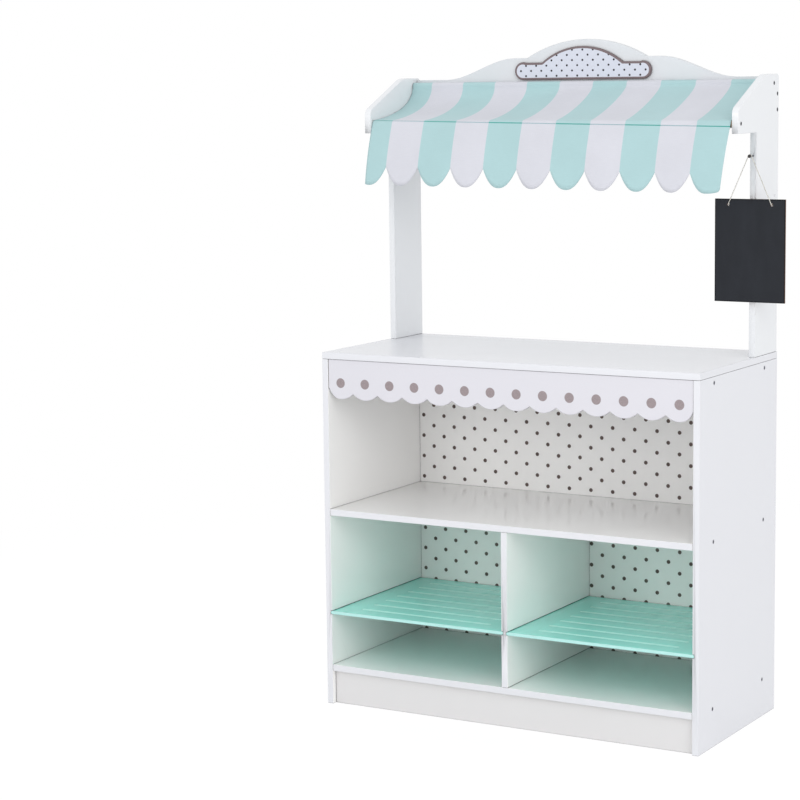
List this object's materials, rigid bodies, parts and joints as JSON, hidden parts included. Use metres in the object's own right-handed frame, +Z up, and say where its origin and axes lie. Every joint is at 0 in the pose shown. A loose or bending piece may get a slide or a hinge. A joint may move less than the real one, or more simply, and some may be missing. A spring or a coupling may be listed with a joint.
{
  "type": "toy bakery stand",
  "caption": "Painted toy market stand: open shelves with sliding trays, a counter with a scalloped apron, a striped cloth awning, a header sign plate and a hanging chalkboard.",
  "frame": {"origin": "on the floor, under the middle of the whole stand with its hanging chalkboard", "axes": "+Z up; the customer's side with the apron and the awning's valance faces -Y; +X is the stand's side with the chalkboard, on the right when seen from the front"},
  "size_m": [0.8088, 0.35, 1.226],
  "materials": {
    "white_painted_board": "satin white paint over fine fibreboard and plywood",
    "mint_gloss_board": "glossy mint paint over board",
    "striped_cloth": "matt woven cotton, mint and white stripes",
    "bare_wood": "bare pale hardwood",
    "screw_steel": "dark zinc",
    "slate_board": "matt chalkboard paint over thin fibreboard",
    "cream_string": "matt cotton string"
  },
  "bodies": {
    "cabinet": {"left_side_panel": "white_painted_board", "right_side_panel": "white_painted_board", "counter_top": "white_painted_board", "middle_shelf": "white_painted_board", "bottom_panel": "white_painted_board", "centre_divider": "white_painted_board", "plinth": "white_painted_board", "front_top_rail": "white_painted_board", "rear_top_rail": "white_painted_board", "upper_back_panel": "white_painted_board", "lower_back_panel": "white_painted_board", "scalloped_apron": "white_painted_board", "left_upright": "white_painted_board", "right_upright": "white_painted_board", "header_board": "white_painted_board", "sign_plate": "white_painted_board", "awning": "striped_cloth", "front_awning_dowel": "bare_wood", "rear_awning_dowel": "bare_wood", "apron_pin_1": "bare_wood", "apron_pin_2": "bare_wood", "apron_pin_3": "bare_wood", "apron_pin_4": "bare_wood", "upright_pin_1": "bare_wood", "upright_pin_2": "bare_wood", "upright_pin_3": "bare_wood", "upright_pin_4": "bare_wood", "left_cabinet_screw_1": "screw_steel", "left_cabinet_screw_2": "screw_steel", "left_cabinet_screw_3": "screw_steel", "left_cabinet_screw_4": "screw_steel", "left_cabinet_screw_5": "screw_steel", "left_cabinet_screw_6": "screw_steel", "right_cabinet_screw_1": "screw_steel", "right_cabinet_screw_2": "screw_steel", "right_cabinet_screw_3": "screw_steel", "right_cabinet_screw_4": "screw_steel", "right_cabinet_screw_5": "screw_steel", "right_cabinet_screw_6": "screw_steel", "left_wing_screw_1": "screw_steel", "left_wing_screw_2": "screw_steel", "left_wing_screw_3": "screw_steel", "left_wing_screw_4": "screw_steel", "right_wing_screw_1": "screw_steel", "right_wing_screw_2": "screw_steel", "right_wing_screw_3": "screw_steel", "right_wing_screw_4": "screw_steel", "counter_screw_1": "screw_steel", "counter_screw_2": "screw_steel", "counter_screw_3": "screw_steel", "counter_screw_4": "screw_steel", "board_hook": "screw_steel"},
    "left_tray": {"left_tray": "mint_gloss_board"},
    "right_tray": {"right_tray": "mint_gloss_board"},
    "string": {"hanging_string": "cream_string"},
    "board": {"chalkboard": "slate_board", "left_string_knot": "cream_string", "right_string_knot": "cream_string"}
  },
  "joints": [
    {"name": "left_tray_slide", "type": "slide", "parent": "cabinet", "child": "left_tray", "axis": [0, -1, 0], "range_m": [0, 0.3]},
    {"name": "right_tray_slide", "type": "slide", "parent": "cabinet", "child": "right_tray", "axis": [0, -1, 0], "range_m": [0, 0.3]},
    {"name": "string_swing", "type": "hinge", "parent": "cabinet", "child": "string", "pos_m": [0.33863, 0.056, 1.0165], "axis": [0, 1, 0], "range_deg": [-40, 40]},
    {"name": "board_tilt", "type": "hinge", "parent": "string", "child": "board", "pos_m": [0.33863, 0.05905, 0.932], "axis": [-1, 0, 0], "range_deg": [0, 35]}
  ]
}
